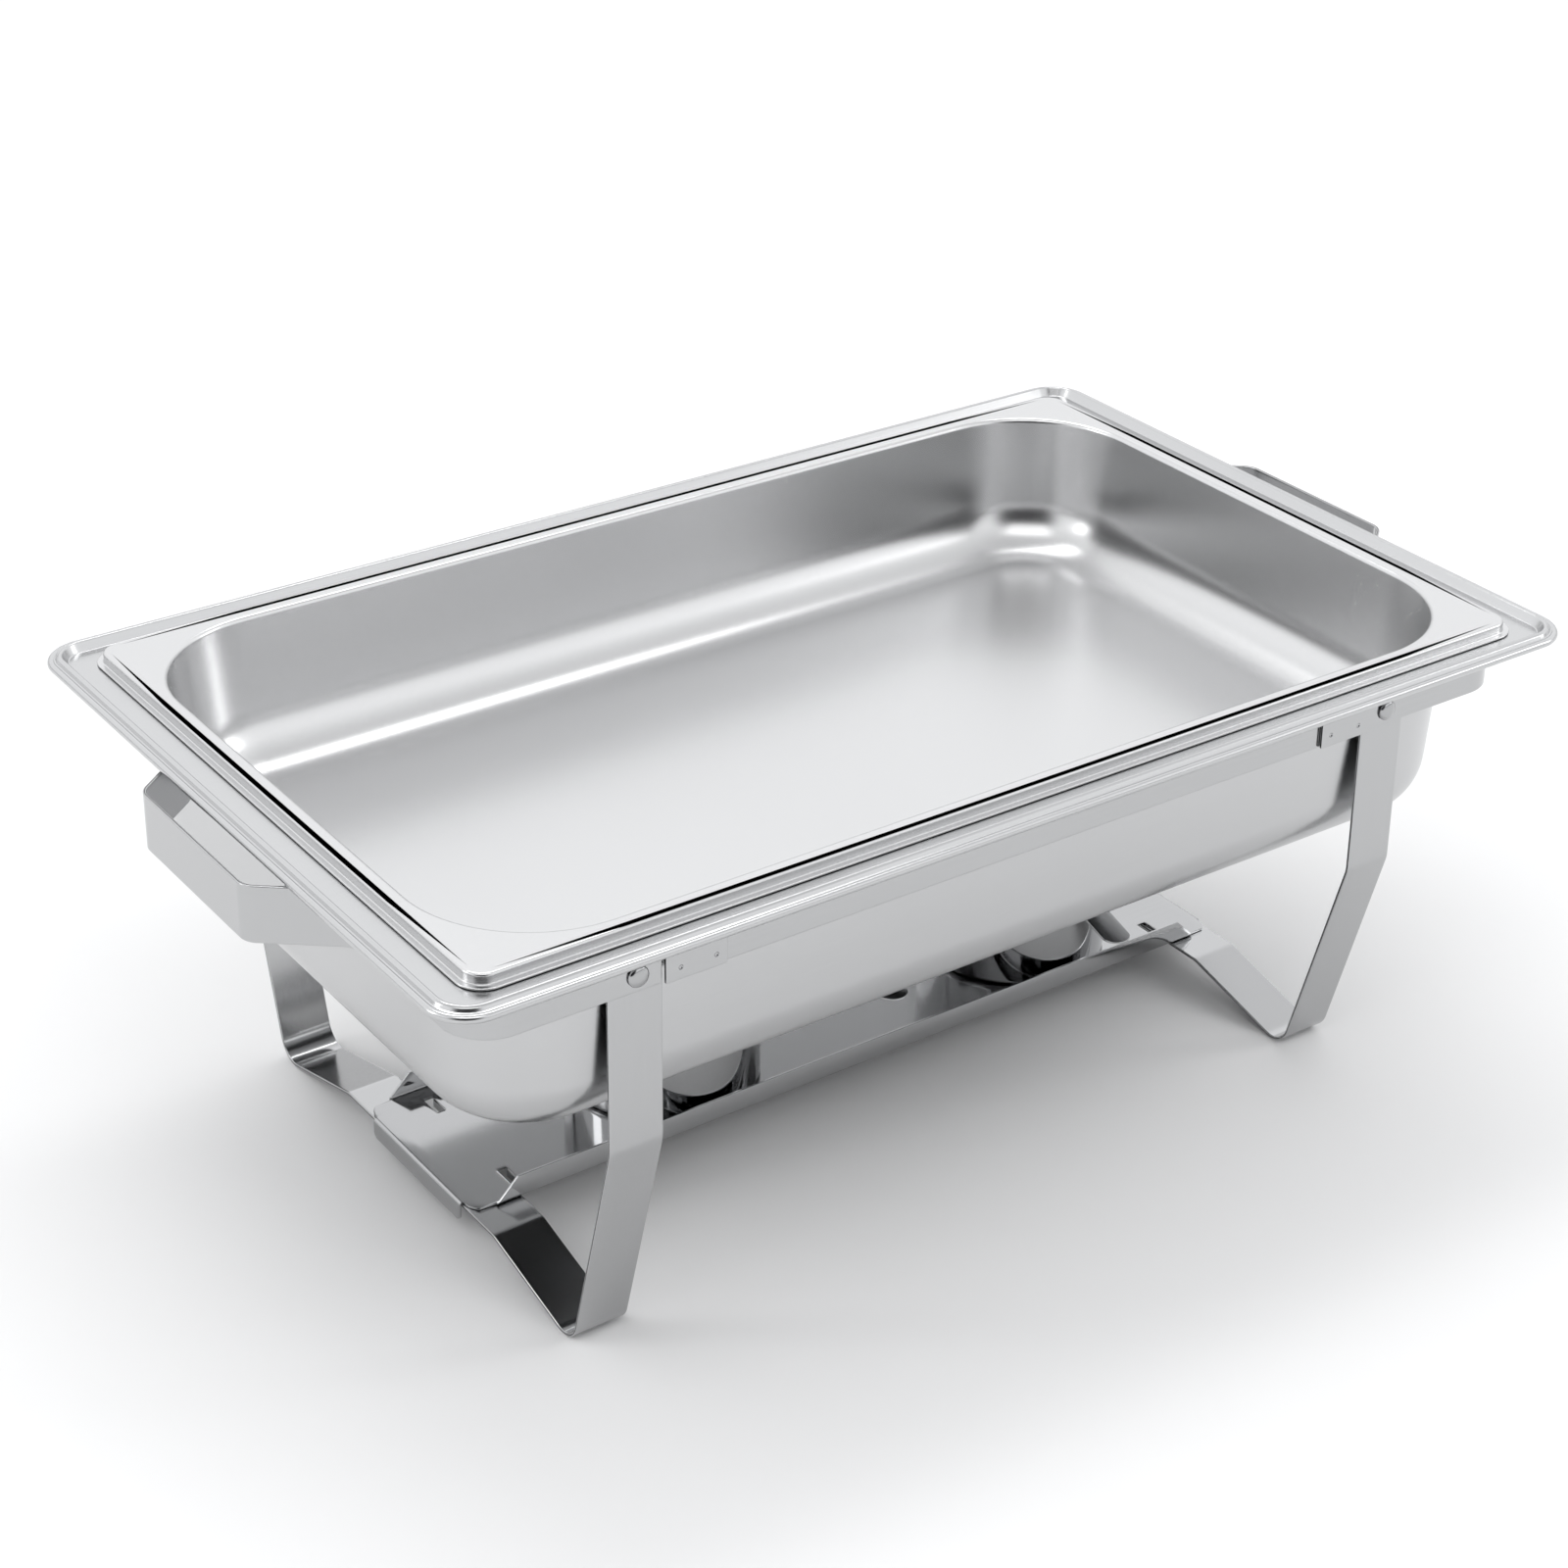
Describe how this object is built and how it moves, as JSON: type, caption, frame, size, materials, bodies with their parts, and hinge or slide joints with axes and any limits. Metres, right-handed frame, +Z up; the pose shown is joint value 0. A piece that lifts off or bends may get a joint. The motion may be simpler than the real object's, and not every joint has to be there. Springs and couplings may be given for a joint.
{
  "type": "chafing dish food warmer",
  "caption": "Open rectangular steel chafing dish: food pan in a rimmed water pan on a strip frame with end handles and folding legs, over a fuel shelf with lidded fuel holders.",
  "frame": {"origin": "on the floor under the middle of the frame, which is the middle of the bottom of the bounding box", "axes": "+X along the pans to the handle that is on the right when the front is seen, +Y from front to rear, +Z up"},
  "size_m": [0.592, 0.3568, 0.2094],
  "materials": {
    "food_pan_steel": "satin drawn stainless steel",
    "water_pan_steel": "soft satin stainless steel, rim bead polished",
    "frame_steel": "satin strip, brushed along its length",
    "rivet_steel": "polished",
    "shelf_steel": "mirror polished sheet",
    "cup_steel": "mirror polished",
    "lid_steel": "polished"
  },
  "bodies": {
    "frame": {"left_end_band": "frame_steel", "right_end_band": "frame_steel", "front_rail": "frame_steel", "rear_rail": "frame_steel", "left_front_pivot_rivet": "rivet_steel", "left_rear_pivot_rivet": "rivet_steel", "right_front_pivot_rivet": "rivet_steel", "right_rear_pivot_rivet": "rivet_steel"},
    "water_pan_body": {"water_pan": "water_pan_steel"},
    "food_pan_body": {"food_pan": "food_pan_steel"},
    "left_leg_body": {"left_leg": "frame_steel"},
    "right_leg_body": {"right_leg": "frame_steel"},
    "shelf_body": {"fuel_shelf": "shelf_steel"},
    "left_cup_body": {"left_fuel_cup": "cup_steel"},
    "left_lid_body": {"left_cup_lid": "lid_steel", "left_damper_pin": "rivet_steel"},
    "left_damper_body": {"left_damper": "lid_steel"},
    "right_cup_body": {"right_fuel_cup": "cup_steel"},
    "right_lid_body": {"right_cup_lid": "lid_steel", "right_damper_pin": "rivet_steel"},
    "right_damper_body": {"right_damper": "lid_steel"}
  },
  "joints": [
    {"name": "water_pan_lift", "type": "slide", "parent": "frame", "child": "water_pan_body", "axis": [0, 0, 1], "range_m": [0, 0.3]},
    {"name": "food_pan_lift", "type": "slide", "parent": "water_pan_body", "child": "food_pan_body", "axis": [0, 0, 1], "range_m": [0, 0.1]},
    {"name": "fuel_shelf_lift", "type": "slide", "parent": "frame", "child": "shelf_body", "axis": [0, 0, 1], "range_m": [0, 0.3]},
    {"name": "left_leg_fold", "type": "hinge", "parent": "frame", "child": "left_leg_body", "pos_m": [-0.1915, 0, 0.1846], "axis": [0, -1, 0], "range_deg": [0, 90]},
    {"name": "right_leg_fold", "type": "hinge", "parent": "frame", "child": "right_leg_body", "pos_m": [0.1915, 0, 0.1846], "axis": [0, 1, 0], "range_deg": [0, 90]},
    {"name": "left_cup_lift", "type": "slide", "parent": "shelf_body", "child": "left_cup_body", "axis": [0, 0, 1], "range_m": [0, 0.012]},
    {"name": "right_cup_lift", "type": "slide", "parent": "shelf_body", "child": "right_cup_body", "axis": [0, 0, 1], "range_m": [0, 0.012]},
    {"name": "left_lid_lift", "type": "slide", "parent": "left_cup_body", "child": "left_lid_body", "axis": [0, 0, 1], "range_m": [0, 0.014]},
    {"name": "right_lid_lift", "type": "slide", "parent": "right_cup_body", "child": "right_lid_body", "axis": [0, 0, 1], "range_m": [0, 0.014]},
    {"name": "left_damper_turn", "type": "hinge", "parent": "left_lid_body", "child": "left_damper_body", "pos_m": [-0.05894, -0.02795, 0.077], "axis": [0, 0, 1], "range_deg": [0, 60]},
    {"name": "right_damper_turn", "type": "hinge", "parent": "right_lid_body", "child": "right_damper_body", "pos_m": [0.10953, -0.03396, 0.077], "axis": [0, 0, 1], "range_deg": [0, 60]}
  ],
  "couplings": [
    {"joint": "fuel_shelf_lift", "follows": "water_pan_lift", "ratio": 1},
    {"joint": "left_leg_fold", "follows": "water_pan_lift", "rad_per_m": 5.2359},
    {"joint": "right_leg_fold", "follows": "water_pan_lift", "rad_per_m": 5.2359}
  ]
}
